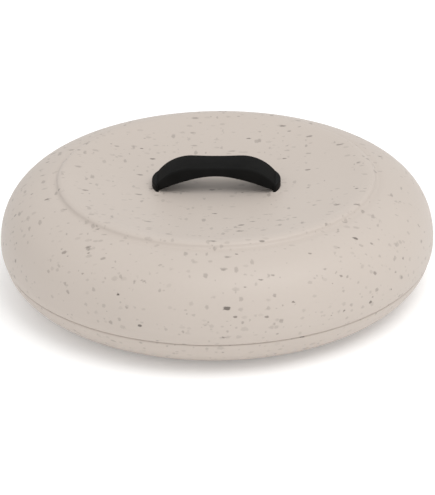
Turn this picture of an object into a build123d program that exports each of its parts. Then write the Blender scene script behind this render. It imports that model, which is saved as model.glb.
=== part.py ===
"""Tortilla warmer: a round dish, a domed lid with a dished top, and a low strap handle.

Millimetres, +Z up. The origin is on the floor at the middle of the foot ring, and the handle
runs along X. The dish and the lid are moulded shells of one wall thickness, the handle is a stiff
frame that snaps through two slots in the lid, and a soft sleeve is moulded round its strap.
"""

import os
from math import atan2, cos, hypot, isclose, radians, sin, sqrt, tan

from build123d import *

# ---- Shells: sizes both of them share ------------------------------------------------
wall = 2.4                  # thickness of the dish and of the lid
seam_height = 23.0          # the line where lid and dish meet, above the floor
seam_radius = 131.5         # outside of both shells at that line

# ---- Lid ----------------------------------------------------------------------------
girth_bulge = 1.9           # the widest line of the whole object, outside the seam
girth_rise = 7.4            # that line above the seam
tuck_pull = 5.0             # how far the side stays upright below the girth
crown_radius = 95.8         # rim of the raised top, before it is rounded
crown_rise = 48.6           # that rim above the seam
crown_dish = 10.4           # depth of the dished top, from that rim to the middle
crown_lip = 7.0             # width of the soft shoulder inside that rim
step_drop = 2.6             # from that rim down to the dome that surrounds it
step_run = 2.8              # how far the step spreads outwards
valley_round = 2.0          # hollow corner between step and dome
dome_slope = 18.0           # degrees, fall of the dome where it starts
dome_top_pull = 10.0        # how far the dome keeps that fall
dome_side_pull = 31.0       # how far its side stays nearly upright
lid_edge_round = 0.6        # the lid's edge at the seam, outside and inside

# ---- Dish ---------------------------------------------------------------------------
belly_radius = 101.9        # where the curved belly becomes the level bottom
belly_side_pull = 9.0       # how far the belly stays upright below the seam
belly_bottom_pull = 14.8    # how far the belly stays level outside belly_radius
foot_height = 0.8           # the foot ring stands this far below the bottom
foot_radius = 103.6         # outside of the foot ring
foot_width = 4.6
foot_round = 0.4
rim_round = 1.2             # the dish's outer edge at the seam
tongue_height = 3.6         # upstand inside the lid's edge, above the seam
tongue_width = 1.7
tongue_round = 0.6
lid_fit = 0.45              # clearance between the upstand and the lid

# ---- Handle -------------------------------------------------------------------------
foot_reach = 39.4           # outside of each foot, from the middle
foot_side = 1.3             # straight sides of a foot, along X
foot_breadth = 22.4         # a foot along Y
foot_bow = 3.2              # how far its outer side bows out from them
foot_corner = 1.6           # rounding of a foot's two outer corners
collar_height = 4.4         # the foot stands this high round the strap's end
collar_round = 0.6
strap_height = 15.2         # top of the strap above the feet's seats
strap_thickness = 5.2       # strap at the middle
collar_ledge = 3.1          # from the foot's outer side to the strap, on top of the collar
shoulder_radius = 26.2      # outside of the strap, from its level top to the collar
strap_breadth = 21.6        # strap along Y, at its shoulders
strap_waist = 2.0           # how much narrower it is at the middle
waist_reach = 21.0          # where the waist starts, from the middle
arch_end_height = 0.6       # underside of the strap where it meets a foot
arch_slope = 23.0           # degrees, underside of the strap at that place
arch_mid_pull = 10.5        # how far the underside stays level at the middle
arch_end_pull = 16.0        # how far it stays straight at the foot
grip_skin = 1.0             # thickness of the soft sleeve
grip_round = 1.1            # rounding of the sleeve's long edges

# ---- Handle's seats and snap legs ---------------------------------------------------
pad_rise = 0.6              # moulded seat above the dished top
pad_margin = 0.9            # seat round the foot
pad_flare = 68.0            # degrees, side of the seat, from upright
pad_blend = 3.0             # hollow rounding between seat and top
leg_thickness = 2.2
leg_width = 12.0
leg_gap = 0.3               # clearance in the slot, outside and at both ends
hook_reach = 1.0            # how far the hook stands out under the lid
hook_height = 2.4
hook_gap = 0.2              # between the hook and the lid's underside

# ---- Worked out -----------------------------------------------------------------------
crown_height = seam_height + crown_rise
top_height = crown_height - crown_dish
girth_radius = seam_radius + girth_bulge
girth_height = seam_height + girth_rise
dish_radius = (crown_radius ** 2 + crown_dish ** 2) / (2 * crown_dish)
round_pull = 4 / 3 * (sqrt(2) - 1)      # pull of a quarter circle's curve, for each mm of radius
foot_inside = foot_reach - foot_bow - foot_side
foot_middle = (foot_inside + foot_reach) / 2


def top_surface(radius):
    """Height of the dished top at a distance from the axis."""
    return top_height + dish_radius - sqrt(dish_radius ** 2 - radius ** 2)


seat_height = top_surface(foot_middle) + pad_rise


def outline(*lines):
    """The face inside lines that join end to end."""
    return make_face(Curve() + list(lines))


def turned(section):
    """A half section drawn in X and Y, stood up and turned once round Z from the Y side."""
    return revolve(Plane.YZ * section, Axis.Z)


def corner(section, *place):
    """The corner of a section that is nearest to a place."""
    return section.vertices().sort_by_distance(Vertex(*place, 0))[0]


# ---- Lid ----------------------------------------------------------------------------
def under_lid_skin(depth):
    """Half section of all that lies under a line which runs depth inside the lid's outer skin."""
    lip_radius = crown_radius - crown_lip
    inward = depth * tan(atan2(step_drop, step_run) / 2)
    middle = (0, top_height - depth)
    lip_start = (lip_radius, top_surface(lip_radius) - depth)
    rim = (crown_radius - inward, crown_height - depth)
    valley = (rim[0] + step_run, rim[1] - step_drop)
    girth = (girth_radius - depth, girth_height)
    edge = (seam_radius - depth, seam_height)
    top_pull = dome_top_pull - round_pull * depth
    side_pull = dome_side_pull - round_pull * depth
    fall = radians(dome_slope)
    shoulder = (valley[0] + top_pull * cos(fall), valley[1] - top_pull * sin(fall))
    section = outline(
        TangentArc(middle, lip_start, tangent=(1, 0)),
        Bezier(lip_start, rim, valley),
        Bezier(valley, shoulder, (girth[0], girth[1] + side_pull), girth),
        Bezier(girth, (girth[0], girth[1] - tuck_pull), edge),
        Polyline(edge, (0, seam_height), middle),
    )
    return fillet(corner(section, *valley), valley_round)


# ---- Dish ---------------------------------------------------------------------------
def over_dish_skin(depth):
    """Half section of all that lies over a line which runs depth inside the dish's outer skin."""
    bottom = foot_height + depth
    middle = (0, bottom)
    belly = (belly_radius, bottom)
    edge = (seam_radius - depth, seam_height)
    bottom_pull = belly_bottom_pull - round_pull * depth
    side_pull = belly_side_pull - round_pull * depth
    return outline(
        Line(middle, belly),
        Bezier(belly, (belly[0] + bottom_pull, bottom), (edge[0], edge[1] - side_pull), edge),
        Polyline(edge, (0, seam_height), middle),
    )


def ring(inside, outside, low, high):
    """Half section of a plain ring round the axis."""
    return outline(Polyline((inside, low), (outside, low), (outside, high), (inside, high), close=True))


def base_dish():
    """The dish with its foot ring, and the ledge and upstand that take the lid."""
    tongue_radius = seam_radius - wall - lid_fit
    tongue_inside = tongue_radius - tongue_width
    tongue_top = seam_height + tongue_height
    hollow = over_dish_skin(wall) & ring(0, tongue_inside, 0, seam_height)
    foot = ring(foot_radius - foot_width, foot_radius, 0, seam_height)
    tongue = ring(tongue_inside, tongue_radius, seam_height - wall, tongue_top)
    section = over_dish_skin(0) + foot - hollow + tongue
    section = fillet(corner(section, seam_radius, seam_height), rim_round)
    tips = [corner(section, radius, tongue_top) for radius in (tongue_inside, tongue_radius)]
    section = fillet(tips, tongue_round)
    soles = [corner(section, radius, 0) for radius in (foot_radius - foot_width, foot_radius)]
    return turned(fillet(soles, foot_round))


# ---- Handle -------------------------------------------------------------------------
def strap(depth):
    """The arched strap, with its skin taken off to a depth. Its ends run on below the seats."""
    top = seat_height + strap_height
    fall = shoulder_radius - strap_height + collar_height
    strap_flat = foot_reach - collar_ledge - sqrt(shoulder_radius ** 2 - fall ** 2)
    end = (strap_flat + shoulder_radius - depth, top - shoulder_radius)
    arch_top = top - strap_thickness + depth
    arch_end = (foot_inside + depth, seat_height + arch_end_height + depth)
    slope = radians(arch_slope)
    spring = (arch_end[0] - arch_end_pull * cos(slope), arch_end[1] + arch_end_pull * sin(slope))
    half = outline(
        Line((0, top - depth), (strap_flat, top - depth)),
        TangentArc((strap_flat, top - depth), end, tangent=(1, 0)),
        Polyline(end, (arch_end[0], end[1]), arch_end),
        Bezier(arch_end, spring, (arch_mid_pull, arch_top), (0, arch_top)),
        Line((0, arch_top), (0, top - depth)),
    )
    side_view = half + mirror(half, Plane.YZ)
    side = strap_breadth / 2 - depth
    waist = side - strap_waist / 2
    reach = end[0]
    edge = Curve() + [
        Line((-reach, side), (-waist_reach, side)),
        Spline((-waist_reach, side), (0, waist), (waist_reach, side), tangents=[(1, 0), (1, 0)]),
        Line((waist_reach, side), (reach, side)),
    ]
    plan = outline(
        edge,
        Line((reach, side), (reach, -side)),
        mirror(edge, Plane.XZ),
        Line((-reach, -side), (-reach, side)),
    )
    body = extrude(Plane.XZ * side_view, strap_breadth, both=True)
    return body & extrude(plan, top)


def long_edges(body):
    """The edges that run along the strap's two sides, above the seats."""
    return [
        edge for edge in body.edges()
        if edge.center().Z > seat_height and abs(edge.center().Y) > strap_breadth / 4
    ]


def foot_plan(margin=0.0):
    """Plan of the foot on the +X side: straight inside, bowed outside, grown by a margin."""
    side = foot_breadth / 2
    shoulder = foot_reach - foot_bow
    plan = outline(
        Polyline((shoulder, -side), (foot_inside, -side), (foot_inside, side), (shoulder, side)),
        ThreePointArc((shoulder, side), (foot_reach, 0), (shoulder, -side)),
    )
    plan = fillet([corner(plan, shoulder, side), corner(plan, shoulder, -side)], foot_corner)
    return offset(plan, margin) if margin else plan


def both_ends(piece):
    """A piece at the +X end, with its mirror image at the other."""
    return piece + mirror(piece, Plane.YZ)


def block(low, high):
    """A box between two corners."""
    size = [high[i] - low[i] for i in range(3)]
    return Pos(*low) * Box(*size, align=(Align.MIN, Align.MIN, Align.MIN))


def leg_box(grow=0.0):
    """Room of the snap leg on the +X side, grown by a clearance, down past the lid."""
    outside = foot_middle + leg_thickness / 2
    return block(
        (outside - leg_thickness, -leg_width / 2 - grow, seat_height - pad_rise - 2 * wall),
        (outside + grow, leg_width / 2 + grow, seat_height),
    )


def snap_leg():
    """The leg on the +X side, with a hook that stands out under the lid."""
    outside = foot_middle + leg_thickness / 2
    inside = outside - leg_thickness
    hook_top = top_surface(outside) - wall - hook_gap
    tip = hook_top - hook_height
    shape = outline(Polyline(
        (inside, seat_height), (outside, seat_height), (outside, hook_top),
        (outside + hook_reach, hook_top), (outside + hook_reach, hook_top - hook_reach / 2),
        (outside - leg_thickness / 2, tip), (inside, tip), close=True,
    ))
    return extrude(Plane.XZ * shape, leg_width / 2, both=True)


def between_collars(body):
    """A strap with its two ends cut off, where they would run on through the feet."""
    collar = block(
        (foot_inside, -foot_breadth, 0),
        (foot_reach + shoulder_radius, foot_breadth, seat_height + collar_height),
    )
    return body - both_ends(collar)


def handle_frame():
    """The stiff frame: a core for the strap, two feet with collars, and the snap legs."""
    foot = Pos(0, 0, seat_height) * extrude(foot_plan(), collar_height)
    rim = foot.faces().sort_by(Axis.Z)[-1].edges()
    end = fillet(rim, collar_round) + snap_leg()
    return both_ends(end) + between_collars(strap(grip_skin))


def handle_grip():
    """The soft sleeve round the strap, from collar to collar."""
    outside = fillet(long_edges(strap(0)), grip_round)
    return between_collars(outside - strap(grip_skin))


# ---- Lid's seats and slots, and the lid itself ----------------------------------------
def seat_pad():
    """Moulded seat for the foot on the +X side, flaring down into the lid's top."""
    depth = pad_rise + wall / 2
    return Pos(0, 0, seat_height) * extrude(foot_plan(pad_margin), -depth, taper=-pad_flare)


def slot():
    """Slot for the snap leg, long enough inwards for the hook to pass through."""
    room = leg_box(leg_gap)
    return room + Pos(-hook_reach, 0, 0) * leg_box(leg_gap)


def pad_roots(shell):
    """The edges where the seats flare out of the dished top."""
    return [
        edge for edge in shell.edges()
        if abs(edge.center().X) > foot_inside / 2
        and isclose(edge.center().Z, top_surface(hypot(edge.center().X, edge.center().Y)), abs_tol=0.05)
        and hypot(edge.center().X, edge.center().Y) < foot_reach + foot_breadth
    ]


def lid_shell():
    """The domed lid, with two seats for the handle's feet and a slot through each."""
    section = under_lid_skin(0) - under_lid_skin(wall)
    edges = [corner(section, radius, seam_height) for radius in (seam_radius - wall, seam_radius)]
    section = fillet(edges, lid_edge_round)
    shell = turned(section) + both_ends(seat_pad())
    shell = fillet(pad_roots(shell), pad_blend)
    return shell - both_ends(slot())


parts = {
    "base_dish": base_dish(),
    "lid_shell": lid_shell(),
    "handle_frame": handle_frame(),
    "handle_grip": handle_grip(),
}

os.makedirs("parts", exist_ok=True)
for name, solid in parts.items():
    export_step(solid, f"parts/{name}.step")
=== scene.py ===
# %% [markdown]
# # A tortilla warmer
# A round dish with a domed lid keeps a stack of warm tortillas soft. Both are moulded from a cream
# plastic full of small plant flecks, and a black strap handle is snapped into the lid.
#
# Its four pieces come in as finished CAD solids, at their real size. This lesson dresses them: it sets
# up a camera and the light, models the handle's soft sleeve and the lid again, finer than the
# solids, and builds every finish from nodes.

from math import cos, pi, radians, sin, sqrt

import bmesh
import bpy
from mathutils import Euler, Matrix, Vector
from mathutils.geometry import interpolate_bezier


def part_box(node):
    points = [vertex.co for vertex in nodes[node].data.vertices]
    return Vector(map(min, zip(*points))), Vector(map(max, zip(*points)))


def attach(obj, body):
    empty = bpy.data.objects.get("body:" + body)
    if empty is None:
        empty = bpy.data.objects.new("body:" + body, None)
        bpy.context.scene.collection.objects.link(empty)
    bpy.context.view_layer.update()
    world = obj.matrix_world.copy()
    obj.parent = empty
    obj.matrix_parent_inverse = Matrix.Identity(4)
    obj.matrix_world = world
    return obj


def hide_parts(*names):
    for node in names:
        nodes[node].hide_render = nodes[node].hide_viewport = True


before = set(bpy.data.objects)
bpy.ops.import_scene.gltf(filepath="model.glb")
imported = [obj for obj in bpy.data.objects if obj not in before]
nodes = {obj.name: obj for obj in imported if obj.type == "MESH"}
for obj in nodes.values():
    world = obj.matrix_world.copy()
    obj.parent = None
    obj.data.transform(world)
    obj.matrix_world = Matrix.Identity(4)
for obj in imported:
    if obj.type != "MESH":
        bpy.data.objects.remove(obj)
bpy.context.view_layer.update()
mm = 0.001
bpy.ops.object.select_all(action="DESELECT")
print("solids:", ", ".join(sorted(nodes)))

# %% [markdown]
# ## The camera
# The warmer is seen from a little above, through a long lens, so that its ovals stay calm and the
# near edge looks hardly larger than the far one. A long lens far away does that; a short lens close
# by would swell the front. The camera circles a point just under the seam, and it is rolled by less
# than a degree, as on a tripod that isn't quite level.

# %% Camera
camera_target = Vector((0.00015, 0.0, 0.0202))
camera_distance = 1.4669
camera_azimuth = radians(2.0)
camera_elevation = radians(26.34)
camera_roll = -0.0135               # in radians
camera_lens_mm = 171.8

bpy.ops.object.camera_add()
camera = bpy.context.object
camera.name = "camera"
camera.data.lens = camera_lens_mm
camera.data.sensor_width = 36.0
camera.data.clip_end = 20.0
aim = Euler((pi / 2 - camera_elevation, 0.0, camera_azimuth)).to_matrix()
camera.location = camera_target + aim @ Vector((0.0, 0.0, camera_distance))
camera.rotation_euler = (aim @ Matrix.Rotation(camera_roll, 3, "Z")).to_euler()
bpy.context.scene.camera = camera
print("camera at", [round(v, 3) for v in camera.location])


# %% [markdown]
# ## Networks made from sums
# Every finish below is a small network of nodes. Wiring them by hand hides the idea, so one class
# holds an output and lets sums be written as sums: `1 - mask` adds the Math node that works it out.
# A second class is one finish. It adds any other node from its kind, its settings and its sockets.

# %% Tools for finishes
class Wire:
    """A node's output. Sums on it add the Math nodes that work them out."""

    def __init__(self, finish, socket):
        self.finish = finish
        self.socket = socket

    def math(self, operation, *values):
        return self.finish.node("Math", {"operation": operation}, dict(enumerate(values)))

    def __add__(self, other):
        return self.math("ADD", self, other)

    def __sub__(self, other):
        return self.math("SUBTRACT", self, other)

    def __mul__(self, other):
        return self.math("MULTIPLY", self, other)

    def __truediv__(self, other):
        return self.math("DIVIDE", self, other)

    def __rsub__(self, other):
        return self.math("SUBTRACT", other, self)

    def __rtruediv__(self, other):
        return self.math("DIVIDE", other, self)

    __radd__ = __add__
    __rmul__ = __mul__

    def less_than(self, other):
        return self.math("LESS_THAN", self, other)


class Finish:
    """A material with one shader, and methods that add nodes to it."""

    def __init__(self, name):
        self.material = bpy.data.materials.new(name)
        self.material.use_nodes = True
        self.tree = self.material.node_tree
        self.shader = self.tree.nodes["Principled BSDF"]

    def put(self, socket, value):
        if isinstance(value, Wire):
            self.tree.links.new(value.socket, socket)
        else:
            socket.default_value = value

    def node(self, kind, settings, sockets, *outputs):
        """Adds a node and gives its first output, or those that are named."""
        node = self.tree.nodes.new("ShaderNode" + kind)
        for name, value in settings.items():
            setattr(node, name, value)
        for name, value in sockets.items():
            self.put(node.inputs[name], value)
        wires = [Wire(self, node.outputs[name]) for name in outputs or (0,)]
        return wires if len(wires) > 1 else wires[0]

    def mix(self, mask, below, above):
        """Colour below where the mask is 0, and above where it is 1."""
        settings = {"data_type": "RGBA"}
        return self.node("Mix", settings, {"Factor": mask, 6: below, 7: above}, 2)

    def step(self, value, low, high):
        """A soft step, from 0 at low to 1 at high."""
        settings = {"interpolation_type": "SMOOTHSTEP"}
        return self.node("MapRange", settings, {"Value": value, "From Min": low, "From Max": high})

    def place(self, move=(0.0, 0.0, 0.0), turn=(0.0, 0.0, 0.0), stretch=(1.0, 1.0, 1.0)):
        """A point's place on the piece, moved, turned and stretched."""
        point = self.node("TexCoord", {}, {}, "Object")
        sockets = {"Vector": point, "Location": move, "Rotation": turn, "Scale": stretch}
        return self.node("Mapping", {}, sockets)

    def noise(self, where, scale, detail=2.0):
        """A slow or fine change from 0 to 1, with a scale in waves per metre."""
        return self.node("TexNoise", {}, {"Vector": where, "Scale": scale, "Detail": detail})

    def bump(self, height, depth):
        """A normal that follows heights, of a depth in metres."""
        return self.node("Bump", {}, {"Height": height, "Distance": depth, "Strength": 1.0})

    def set(self, **values):
        """Sets or links the shader's sockets, named in small letters."""
        for name, value in values.items():
            title = name.replace("_", " ").title().replace("Ior", "IOR")
            self.put(self.shader.inputs[title], value)


def dress(piece, finish):
    """Gives a piece one finish all over."""
    piece.data.materials.clear()
    piece.data.materials.append(finish.material)
    print(piece.name, "wears", finish.material.name)


# %% [markdown]
# ## The room
# Kitchenware like this is shown in a light tent: white cloth all round, so that shade is left only
# where two surfaces come close. A white world does the same. A tent alone makes things look flat, so
# one large soft panel hangs high at the front on the right. It brightens the edges that turn towards
# it and leaves the left quieter, and that shows the step round the lid's top.

# %% Light
tent_strength = 0.85
panel_power_w = 10.0
panel_size = 1.0
panel_place = Vector((0.45, -0.52, 1.38))

scene = bpy.context.scene
scene.view_settings.view_transform = "Standard"
scene.view_settings.look = "None"
world = bpy.data.worlds.new("tent")
scene.world = world
world.use_nodes = True
tent = world.node_tree.nodes["Background"]
tent.inputs["Color"].default_value = (1.0, 1.0, 1.0, 1.0)
tent.inputs["Strength"].default_value = tent_strength

bpy.ops.object.light_add(type="AREA", location=panel_place)
panel = bpy.context.object
panel.name = "panel"
panel.data.size = panel_size
panel.data.energy = panel_power_w
panel.rotation_euler = (camera_target - panel_place).to_track_quat("-Z", "Y").to_euler()
print("tent", tent_strength, "panel", panel_power_w, "W")

# %% [markdown]
# ## The floor
# A wide white sheet, so large that its edge stays out of the picture. It is stage, not part of the
# warmer. It is matt, so that it shows soft shade under the dish and no reflection. On a shooting
# table the sheet lets some light through from below, which keeps that shade pale, so this one glows
# a little.

# %% Floor
floor_size = 8.0
floor_glow = 0.16
bpy.ops.mesh.primitive_plane_add(size=floor_size)
floor = bpy.context.object
floor.name = "floor"
floor_white = Finish("floor_white")
fibre = floor_white.noise(floor_white.place(), 60.0)
floor_white.set(base_color=floor_white.mix(fibre, (0.925, 0.925, 0.925, 1), (0.94, 0.94, 0.94, 1)))
floor_white.set(roughness=0.95, specular_ior_level=0.0)
floor_white.set(emission_color=(1.0, 1.0, 1.0, 1.0), emission_strength=floor_glow)
dress(floor, floor_white)

# %% [markdown]
# ## The soft sleeve of the handle
# The handle's stiff strap is covered with soft black rubber, moulded straight onto it, so the
# fingers meet something warm that grips. The sleeve follows one arch: level on top, round at the
# shoulders, hollowed underneath, and a little narrower in the middle.
#
# It could be a curve with a bevel, but then its top and its underside would keep one distance. So
# a block is cut into slices, and every slice is moved to the height and breadth that it has there.
# First come the lines that the slices follow, with the same sizes as the solids. Only the rubber
# under the middle of the arch is a little thicker than there, for a fuller grip.

# %% Lines of the strap
seat_height = 63.348 * mm           # where the feet stand on the lid
collar_top = seat_height + 4.4 * mm
strap_high = seat_height + 15.2 * mm
strap_thin = 5.2 * mm
shoulder_radius = 26.2 * mm
shoulder_end = 36.3 * mm            # where the strap meets the collar, from the middle
shoulder_fall = shoulder_radius - strap_high + collar_top
strap_flat = shoulder_end - sqrt(shoulder_radius ** 2 - shoulder_fall ** 2)
strap_breadth = 21.6 * mm
strap_waist = 2.0 * mm
waist_reach = 21.0 * mm             # how far the waist is felt, from the middle
foot_inside = 34.9 * mm             # the inner side of a foot and its collar
arch_foot = Vector((foot_inside, 0.0, seat_height + 0.6 * mm))
arch_slope = radians(23.0)          # the underside starts at this slope
arch_end_pull = 16.0 * mm           # and keeps it about this far
arch_mid_pull = 10.5 * mm           # it is nearly level this far from the middle
strap_end = 36.6 * mm               # a little further, until the collars cut it back
sleeve_skin = 1.0 * mm
sleeve_round = 1.1 * mm
sleeve_sag = 0.6 * mm               # more rubber under the middle of the arch
sleeve_break = 0.15 * mm            # softened edges of its cut ends
sharp_above = radians(50)           # edges that turn more than this are softened
slices_each_side = 18
smooth_below = radians(35)          # edges that turn less than this look smooth


def strap_top(x, depth):
    """Height of the strap's upper line, or of a line that runs a depth inside it."""
    over = max(abs(x) - strap_flat, 0.0)
    return strap_high - shoulder_radius + sqrt((shoulder_radius - depth) ** 2 - over ** 2)


def strap_side(x, depth):
    """Half of the strap's breadth: it is narrower in the middle."""
    near = max(1.0 - abs(x) / waist_reach, 0.0)
    return strap_breadth / 2 - depth - strap_waist / 2 * near * near * (3.0 - 2.0 * near)


def arch_line(depth):
    """Points of the strap's underside, from its foot to the middle: the rubber's, or the core's."""
    sag = 0.0 if depth else sleeve_sag
    foot = arch_foot + Vector((depth, 0.0, depth))
    spring = foot + arch_end_pull * Vector((-cos(arch_slope), 0.0, sin(arch_slope)))
    middle = Vector((0.0, 0.0, strap_high - strap_thin + depth - sag))
    level = middle + Vector((arch_mid_pull, 0.0, 0.0))
    return interpolate_bezier(foot, spring, level, middle, slices_each_side + 1)


print("strap is", round((strap_high - arch_line(0.0)[-1].z) / mm, 2), "mm thick in the middle")


# %% [markdown]
# ## Selecting by place
# An operator acts on what is selected. In object mode that is one piece. In edit mode it is some of
# its points: by hand one drags a box round them, and here a rule does that. It is asked about the
# place of each point, or of each edge's two ends.

# %% Selecting
same_place = 0.001 * mm


def take(piece):
    """Makes one piece the selected and the active one."""
    bpy.ops.object.select_all(action="DESELECT")
    piece.select_set(True)
    bpy.context.view_layer.objects.active = piece


def pick(piece, rule):
    """Selects the points that answer to a rule, and nothing else."""
    bpy.ops.mesh.select_mode(type="VERT")
    bpy.ops.mesh.select_all(action="DESELECT")
    mesh = bmesh.from_edit_mesh(piece.data)
    for point in mesh.verts:
        point.select = rule(point.co)
    mesh.select_flush(True)
    bmesh.update_edit_mesh(piece.data)


def pick_edges(piece, rule):
    """Selects the edges whose two ends answer to a rule, and nothing else."""
    bpy.ops.mesh.select_mode(type="EDGE")
    bpy.ops.mesh.select_all(action="DESELECT")
    mesh = bmesh.from_edit_mesh(piece.data)
    for edge in mesh.edges:
        edge.select = rule(edge.verts[0].co, edge.verts[1].co)
    bmesh.update_edit_mesh(piece.data)


# %% [markdown]
# ## A strap from slices
# The block starts as long as the strap with its ends. It is bisected once for each slice. Then the
# upper and the lower points of every slice are moved to their lines, and the slice is scaled to its
# breadth. Bevelled long edges turn the strap into a sleeve that feels soft.

# %% Strap
def block(name, low, high):
    """A box between two corners, with its place in its mesh."""
    middle = (Vector(low) + Vector(high)) / 2
    bpy.ops.mesh.primitive_cube_add(size=1.0, location=middle)
    piece = bpy.context.object
    piece.name = name
    piece.scale = Vector(high) - Vector(low)
    bpy.ops.object.transform_apply(location=True, rotation=True, scale=True)
    return piece


def is_long_edge(a, b):
    """True for an edge that runs along one side of the strap, seen from its two ends' places."""
    runs_along = abs(a.x - b.x) > same_place
    drifts_little = abs(a.y - b.y) < 1.0 * mm
    return runs_along and drifts_little and a.y * b.y > 0


def strap(name, depth, rounding):
    """The strap with its skin taken off to a depth, and its long edges rounded."""
    middle = strap_high - strap_thin / 2
    half = 1.0 * mm                 # of the block's height at the start
    side = strap_breadth / 2
    end = strap_end + depth / 10    # the core sticks out, so that no end faces coincide
    piece = block(name, (-end, -side, middle - half), (end, side, middle + half))
    arch = arch_line(depth)
    lower = {round(sign * point.x, 7): point.z for point in arch for sign in (-1, 1)}
    bpy.ops.object.mode_set(mode="EDIT")
    for x in lower:
        bpy.ops.mesh.select_all(action="SELECT")
        bpy.ops.mesh.bisect(plane_co=(x, 0.0, middle), plane_no=(1.0, 0.0, 0.0))
    lower[-end] = lower[end] = arch[0].z
    for x, low in lower.items():
        pick(piece, lambda place: abs(place.x - x) < same_place and place.z < middle)
        bpy.ops.transform.translate(value=(0.0, 0.0, low - middle + half))
        pick(piece, lambda place: abs(place.x - x) < same_place and place.z > middle)
        bpy.ops.transform.translate(value=(0.0, 0.0, strap_top(x, depth) - middle - half))
        pick(piece, lambda place: abs(place.x - x) < same_place)
        bpy.ops.transform.resize(value=(1.0, strap_side(x, depth) / side, 1.0))
    if rounding:
        pick_edges(piece, is_long_edge)
        bpy.ops.mesh.bevel(offset=rounding, segments=5, profile=0.5, affect="EDGES", clamp_overlap=False)
    bpy.ops.object.mode_set(mode="OBJECT")
    return piece


sleeve = strap("grip_sleeve", 0.0, sleeve_round)
core = strap("core_room", sleeve_skin, 0.0)
print("sleeve has", len(sleeve.data.polygons), "faces before it is hollow")


# %% [markdown]
# ## One piece shapes another
# A Boolean modifier takes the room of one piece out of another, or fuses the two. The second piece
# is only a tool: once the modifier is applied it is deleted. What comes out is measured, so that it
# can be held against the solid that it stands for.

# %% Combining and measuring
def combine(piece, tool, operation):
    """Takes a tool's room out of a piece, or fuses the tool with it, and deletes the tool."""
    take(piece)
    modifier = piece.modifiers.new("combine", "BOOLEAN")
    modifier.operation = operation
    modifier.solver = "EXACT"
    modifier.object = tool
    bpy.ops.object.modifier_apply(modifier=modifier.name)
    bpy.data.objects.remove(tool)


def in_mm(low, high):
    """Two corners of a box in mm, for printing."""
    return [[round(v / mm, 2) for v in corner] for corner in (low, high)]


def extent(piece):
    """The two corners of a modelled piece, in mm."""
    places = [vertex.co for vertex in piece.data.vertices]
    low, high = ([end(place[i] for place in places) for i in range(3)] for end in (min, max))
    return in_mm(low, high)


# %% [markdown]
# ## Hollow, and cut at the collars
# Three Booleans finish the sleeve: one takes out the room of the stiff strap, which comes in with
# the solids, and two cut the ends off where the feet's collars stand. A very small bevel breaks the
# cut edges, as a mould does.

# %% Finish the sleeve
combine(sleeve, core, "DIFFERENCE")
for sign in (-1, 1):
    near, far = sorted((sign * foot_inside, sign * 2 * strap_end))
    room = block("collar_room", (near, -strap_breadth, 0.0), (far, strap_breadth, collar_top))
    combine(sleeve, room, "DIFFERENCE")

take(sleeve)
softened = sleeve.modifiers.new("softened", "BEVEL")
softened.width = sleeve_break
softened.segments = 2
softened.limit_method = "ANGLE"
softened.angle_limit = sharp_above
bpy.ops.object.modifier_apply(modifier=softened.name)
bpy.ops.object.shade_smooth_by_angle(angle=smooth_below)
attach(sleeve, "lid")
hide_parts("handle_grip")
print("solid sleeve", in_mm(*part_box("handle_grip")), "modelled sleeve", extent(sleeve))


# %% [markdown]
# ## The lid's line
# The lid is round, so one line is all that has to be drawn: half of its section, from the middle of
# the top out to the edge and back along the inside. The line has a story. The top is dished, so it
# rises towards its rim. There it turns down through a short steep step, rests in a narrow hollow,
# and only then swells out into the dome. That step is what catches the light.
#
# The CAD lid has the same line with a softer step, and it carries the strength and the collision.
# For the eye the step is worth modelling again, crisper. A Bezier curve suits it best. Each knot sits
# where the line changes its mind. The fall says which way it passes: 0 is level outwards, 90 is
# straight down and 180 is level inwards. The reach of its two handles says how calmly.

# %% Draw the lid's line
lid_wall = 2.4                      # the sizes in this cell are in mm
middle_height = 61.2
rim_radius = 94.2
rim_height = 70.65
hollow_radius = 99.9
hollow_height = 67.57
girth_radius = 133.38
girth_height = 30.4
edge_radius = 131.0
edge_height = 23.0

lid_line = (
    # radius, height, fall in degrees, reach of the handle before and after
    (0.0, middle_height, 0.0, 10.0, 29.9),
    (88.8, 70.13, -11.4, 29.7, 1.8),                      # the top begins to level out
    (rim_radius, rim_height, 0.0, 1.8, 1.7),
    (97.2, 69.2, 62.0, 0.85, 1.17),                       # the step, at its steepest
    (hollow_radius, hollow_height, 1.4, 1.3, 1.2),
    (103.62, 67.21, 12.3, 1.25, 22.66),                   # the dome begins
    (girth_radius, girth_height, 90.0, 16.26, 3.33),
    (131.81, 23.39, 128.6, 1.11, 0.33),                   # edge, rounded off outside
    (edge_radius, edge_height, 180.0, 0.28, 0.4),
    (129.7, edge_height, 180.0, 0.4, 0.33),               # edge, rounded off inside
    (129.1, 23.6, 300.0, 0.33, 1.28),
    (edge_radius, girth_height, 270.0, 3.3, 16.0),        # the girth, from inside
    (99.5, 65.16, 188.6, 23.67, 1.8),                     # the hollow, from below
    (93.2, rim_height - lid_wall, 180.0, 1.8, 1.4),
    (89.48, 67.82, 168.5, 1.45, 30.0),
    (0.0, middle_height - lid_wall, 180.0, 30.0, 10.0),
)
line_steps = 14

bpy.ops.curve.primitive_bezier_curve_add()
lid = bpy.context.object
lid.name = "lid_skin"
lid.location = (0.0, 0.0, 0.0)
lid.data.resolution_u = line_steps
knots = lid.data.splines[0].bezier_points
knots.add(len(lid_line) - len(knots))
for knot, (radius, height, fall, before, after) in zip(knots, lid_line):
    knot.handle_left_type = knot.handle_right_type = "FREE"
    onward = Vector((cos(radians(fall)), 0.0, -sin(radians(fall)))) * mm
    knot.co = Vector((radius, 0.0, height)) * mm
    knot.handle_left = knot.co - before * onward
    knot.handle_right = knot.co + after * onward
take(lid)
bpy.ops.object.convert(target="MESH")
lid = bpy.context.object
print("the line has", len(lid.data.vertices), "points")

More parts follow.
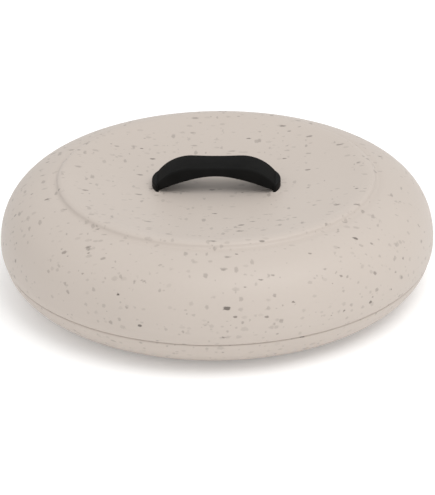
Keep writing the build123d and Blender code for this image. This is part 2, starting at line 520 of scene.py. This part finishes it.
# %% [markdown]
# ## Turned like clay
# Spin turns the line round the axis, as a potter's wheel does. After a full turn it joins its last
# step to the first by itself. But every step leaves the line's two ends once more on the axis, so
# these doubles are merged. Then the faces are made to point outwards.

# %% Turn it
turns = 192
bpy.ops.object.mode_set(mode="EDIT")
bpy.ops.mesh.select_all(action="SELECT")
bpy.ops.mesh.spin(steps=turns, angle=2 * pi, center=(0.0, 0.0, 0.0), axis=(0.0, 0.0, 1.0))
bpy.ops.mesh.select_all(action="SELECT")
bpy.ops.mesh.remove_doubles(threshold=same_place)
bpy.ops.mesh.normals_make_consistent(inside=False)
bpy.ops.object.mode_set(mode="OBJECT")
print("the lid has", len(lid.data.polygons), "faces")


# %% [markdown]
# ## Seats and slots
# The handle's feet don't stand on the dished top itself. Each has a low seat that is moulded with the
# lid and flares down into it. A seat starts as a block, its outer side is bowed like the foot, and
# its lower face is spread. A Boolean union fuses it with the lid. Last come the two slots for the
# handle's snap legs, hidden under the feet. A Boolean can leave a sliver without area where two
# faces nearly meet, so such slivers are dissolved.

# %% Seats and slots
seat_inside = 34.0 * mm
seat_outside = 37.1 * mm
seat_bow = 3.2 * mm
seat_side = 12.1 * mm
seat_deep = 1.8 * mm
seat_spread = (2.3, 1.36, 1.0)      # of its lower face
seat_slices = 8
slot_inside = 35.05 * mm
slot_outside = 38.55 * mm
slot_side = 6.3 * mm
slot_low = 50.0 * mm                # right through the top, from below it to above it
slot_high = 70.0 * mm
sliver = 0.004 * mm


def seat(sign):
    """The seat under one foot, at the side of the sign."""
    near, far = sorted((sign * seat_inside, sign * seat_outside))
    piece = block("seat", (near, -seat_side, seat_height - seat_deep), (far, seat_side, seat_height))
    bpy.ops.object.mode_set(mode="EDIT")
    cuts = [seat_side * (2 * i / seat_slices - 1) for i in range(1, seat_slices)]
    for across in cuts:
        bpy.ops.mesh.select_all(action="SELECT")
        bpy.ops.mesh.bisect(plane_co=(0.0, across, 0.0), plane_no=(0.0, 1.0, 0.0))
    for across in cuts:
        corner = Vector((sign * seat_outside, across))
        pick(piece, lambda place: (place.xy - corner).length < same_place)
        bow = seat_bow * (1.0 - (across / seat_side) ** 2)
        bpy.ops.transform.translate(value=(sign * bow, 0.0, 0.0))
    pick(piece, lambda place: place.z < seat_height - seat_deep / 2)
    bpy.ops.transform.resize(value=seat_spread)
    bpy.ops.object.mode_set(mode="OBJECT")
    return piece


for sign in (-1, 1):
    combine(lid, seat(sign), "UNION")
    near, far = sorted((sign * slot_inside, sign * slot_outside))
    slot = block("slot", (near, -slot_side, slot_low), (far, slot_side, slot_high))
    combine(lid, slot, "DIFFERENCE")

take(lid)
bpy.ops.object.mode_set(mode="EDIT")
bpy.ops.mesh.select_all(action="SELECT")
bpy.ops.mesh.dissolve_degenerate(threshold=sliver)
bpy.ops.object.mode_set(mode="OBJECT")
bpy.ops.object.shade_smooth_by_angle(angle=smooth_below)
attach(lid, "lid")
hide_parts("lid_shell")
print("solid lid", in_mm(*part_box("lid_shell")), "modelled lid", extent(lid))


# %% [markdown]
# ## Cream plastic with plant flecks
# The shells are moulded from plastic that is filled with ground straw. Most flecks lie just under
# the surface and look faint and brown; some break it, and a few are nearly black. They are small
# splinters, so they are longer than wide, and they lie in all directions and in loose clouds.
#
# An image could be wrapped round the lid, but it would have a seam and a pole. Each layer of flecks
# is a Voronoi pattern in space instead: every cell holds one grain, its size and tone picked by the
# cell's own random colour. The pattern is stretched, and turned in its own direction, per layer.

# %% Grains in plastic
smallest_grain = 0.3                # of the largest one in its layer
grain_waves = 1.3                   # of a ragged edge, over one grain
grain_solid, grain_gone = 0.7, 1.2  # a grain fades out between these parts of its reach


def grains(finish, where, spacing, largest, share, ragged):
    """Mask and tone of one layer: one grain in each cell, in a share of the cells."""
    cells = {"Vector": where, "Scale": 1 / spacing, "Randomness": 1.0}
    distance, colour = finish.node("TexVoronoi", {}, cells, "Distance", "Color")
    chance, tone, size = finish.node("SeparateColor", {}, {"Color": colour}, 0, 1, 2)
    wander = finish.noise(where, grain_waves / largest)
    reach = (size * size * (1 - smallest_grain) + smallest_grain) * (largest / spacing)
    edge = reach * (1 + (wander - 0.5) * ragged)
    inside = finish.step(distance / edge, grain_gone, grain_solid)
    return inside * chance.less_than(share), tone


# %% [markdown]
# ## Four layers of flecks
# The cream itself drifts a little in soft clouds, with a fine mottle in it. Over it lie four layers
# of grains, from faint and many to dark and few. Where a slow noise is high they crowd together.

# %% Cream plastic
cream = (0.505, 0.446, 0.398, 1.0)
cream_pale = (0.537, 0.475, 0.425, 1.0)
cream_mottled = (0.44, 0.387, 0.344, 1.0)
straw = (0.062, 0.052, 0.045, 1.0)
straw_pale = (0.110, 0.090, 0.075, 1.0)
mottle_strength = 0.16
sparse, crowding = 0.45, 0.9        # how many of the grains show: at least, and more in a crowd
palest_grain = 0.4                  # of its layer's strength
skin_depth = 0.02 * mm
fleck_layers = (
    # spacing and largest grain in mm, share, ragged, turn, stretch, strength
    (3.9, 1.35, 0.95, 1.2, (0.3, 0.1, 0.2), (0.6, 1.0, 1.0), 0.22),
    (4.6, 1.35, 0.85, 1.4, (0.7, 0.4, 0.9), (1.0, 0.5, 1.0), 0.36),
    (5.3, 1.2, 0.75, 1.4, (0.2, 0.3, 2.4), (0.45, 1.0, 1.0), 0.58),
    (7.0, 1.2, 0.65, 1.3, (1.3, 0.2, 0.5), (0.5, 1.0, 1.0), 0.90),
)


def flecked_plastic(name, move):
    """Cream plastic with all layers of flecks. The move gives each shell flecks of its own."""
    finish = Finish(name)
    cloud = finish.noise(finish.place(move), 16.0, 3.0)
    mottle = finish.noise(finish.place(move), 420.0, 2.0)
    crowd = finish.step(finish.noise(finish.place(move), 22.0, 1.0), 0.28, 0.72)
    colour = finish.mix(cloud, cream, cream_pale)
    colour = finish.mix(mottle * mottle_strength, colour, cream_mottled)
    splinter = finish.mix(cloud, straw, straw_pale)
    for spacing, largest, share, ragged, turn, stretch, strength in fleck_layers:
        where = finish.place(move, turn, stretch)
        local_share = share * (sparse + crowd * crowding)
        mask, tone = grains(finish, where, spacing * mm, largest * mm, local_share, ragged)
        shown = mask * strength * (palest_grain + tone * (1 - palest_grain))
        colour = finish.mix(shown, colour, splinter)
    skin = finish.noise(finish.place(move), 900.0, 3.0)
    finish.set(base_color=colour, roughness=0.42 + skin * 0.12, specular_ior_level=0.3)
    finish.set(normal=finish.bump(skin, skin_depth))
    return finish


lid_plastic = flecked_plastic("lid_plastic", (0.0, 0.0, 0.0))
dish_plastic = flecked_plastic("dish_plastic", (0.31, 0.17, 0.05))
dress(lid, lid_plastic)
dress(nodes["base_dish"], dish_plastic)

# %% [markdown]
# ## Black handle
# The frame is a hard black plastic with the fine grain of a spark-etched mould: it keeps some sheen.
# The sleeve is rubber: its grain is finer and its sheen wider, so it looks matt beside the frame.

# %% Handle finishes
frame_dark, frame_light = (0.0065, 0.0065, 0.0062, 1.0), (0.0120, 0.0118, 0.0114, 1.0)
grip_dark, grip_light = (0.0070, 0.0070, 0.0068, 1.0), (0.0135, 0.0133, 0.0128, 1.0)
grain_depth = 0.03 * mm

frame_black = Finish("frame_black")
etch = frame_black.noise(frame_black.place(), 1400.0, 3.0)
frame_black.set(base_color=frame_black.mix(etch, frame_dark, frame_light))
frame_black.set(roughness=0.36 + etch * 0.16, specular_ior_level=0.02)
frame_black.set(normal=frame_black.bump(etch, grain_depth))

grip_black = Finish("grip_black")
pores = grip_black.noise(grip_black.place(), 2600.0, 2.0)
wear = grip_black.noise(grip_black.place(), 90.0, 3.0)
grip_black.set(base_color=grip_black.mix(wear, grip_dark, grip_light))
grip_black.set(roughness=0.52 + pores * 0.2, specular_ior_level=0.015)
grip_black.set(normal=grip_black.bump(pores, grain_depth))

dress(nodes["handle_frame"], frame_black)
dress(sleeve, grip_black)
